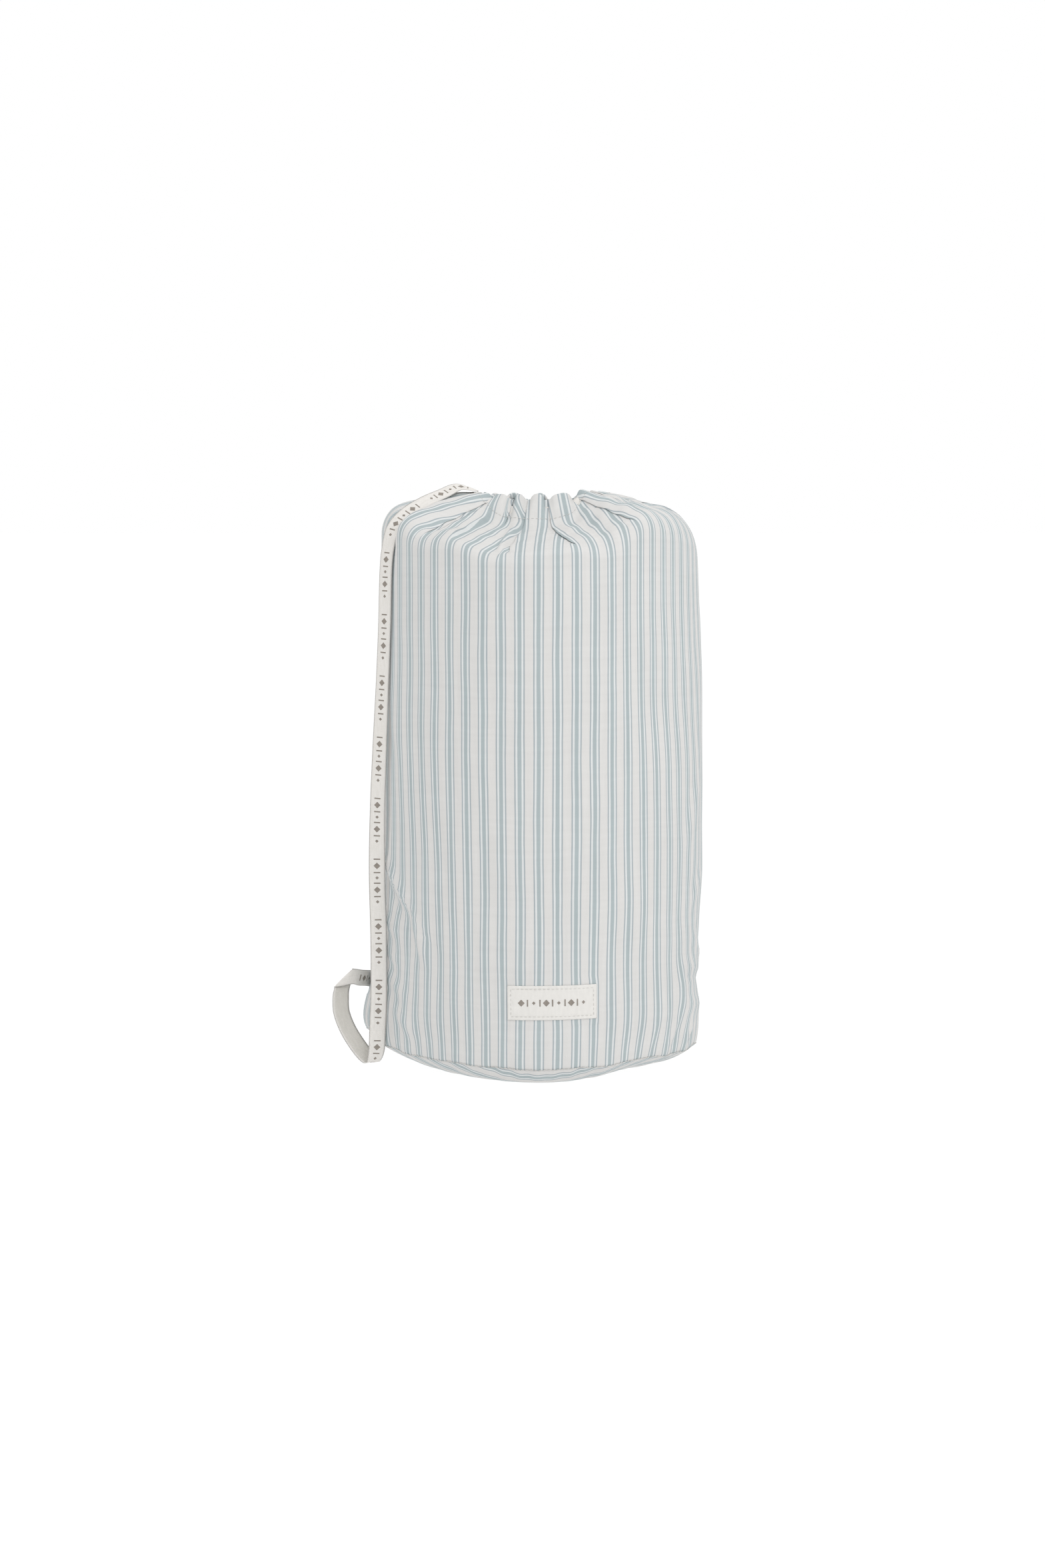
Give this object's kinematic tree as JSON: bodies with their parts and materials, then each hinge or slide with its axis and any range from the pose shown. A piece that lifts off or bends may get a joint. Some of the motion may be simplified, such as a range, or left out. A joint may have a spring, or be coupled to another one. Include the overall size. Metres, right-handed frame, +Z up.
{
  "type": "laundry bag",
  "caption": "Round drawstring laundry bag in striped cloth, filled and standing on its base, closed at the top by a flat tape that hangs down one side.",
  "frame": {"origin": "middle of the base, on the surface the bag stands on", "axes": "+Z up along the bag, -Y is the front with the sewn label, -X is the side where the tape leaves the casing"},
  "size_m": [0.2903, 0.2519, 0.453],
  "materials": {
    "ticking": "striped cotton ticking, off-white with grey-green stripes",
    "tape": "flat woven tape, off-white with a taupe printed motif",
    "label": "smooth woven label, off-white",
    "thread": "sewing thread, off-white",
    "binding": "plain cotton binding, off-white"
  },
  "bodies": {
    "bag": {"body_panel": "ticking", "shoulder_gathers": "ticking", "side_seam_allowance": "ticking", "side_seam_overlock": "thread", "side_seam_stitching": "thread", "base_panel": "ticking", "base_seam_allowance": "ticking", "base_seam_binding": "binding", "base_seam_stitching": "thread", "label_patch": "label", "label_stitching": "thread"},
    "neck": {"gathered_neck": "ticking", "casing_hem": "ticking", "casing_stitching": "thread", "exit_buttonholes": "thread", "tape_in_casing": "tape"},
    "tape": {"tape_loop": "tape", "tape_join": "tape"}
  },
  "joints": [
    {"name": "neck_lift", "type": "slide", "parent": "bag", "child": "neck", "axis": [0, 0, 1], "range_m": [0, 0.035]},
    {"name": "tape_swing", "type": "hinge", "parent": "neck", "child": "tape", "pos_m": [-0.05, 0, 0.447], "axis": [0, 1, 0], "range_deg": [0, 100]}
  ]
}
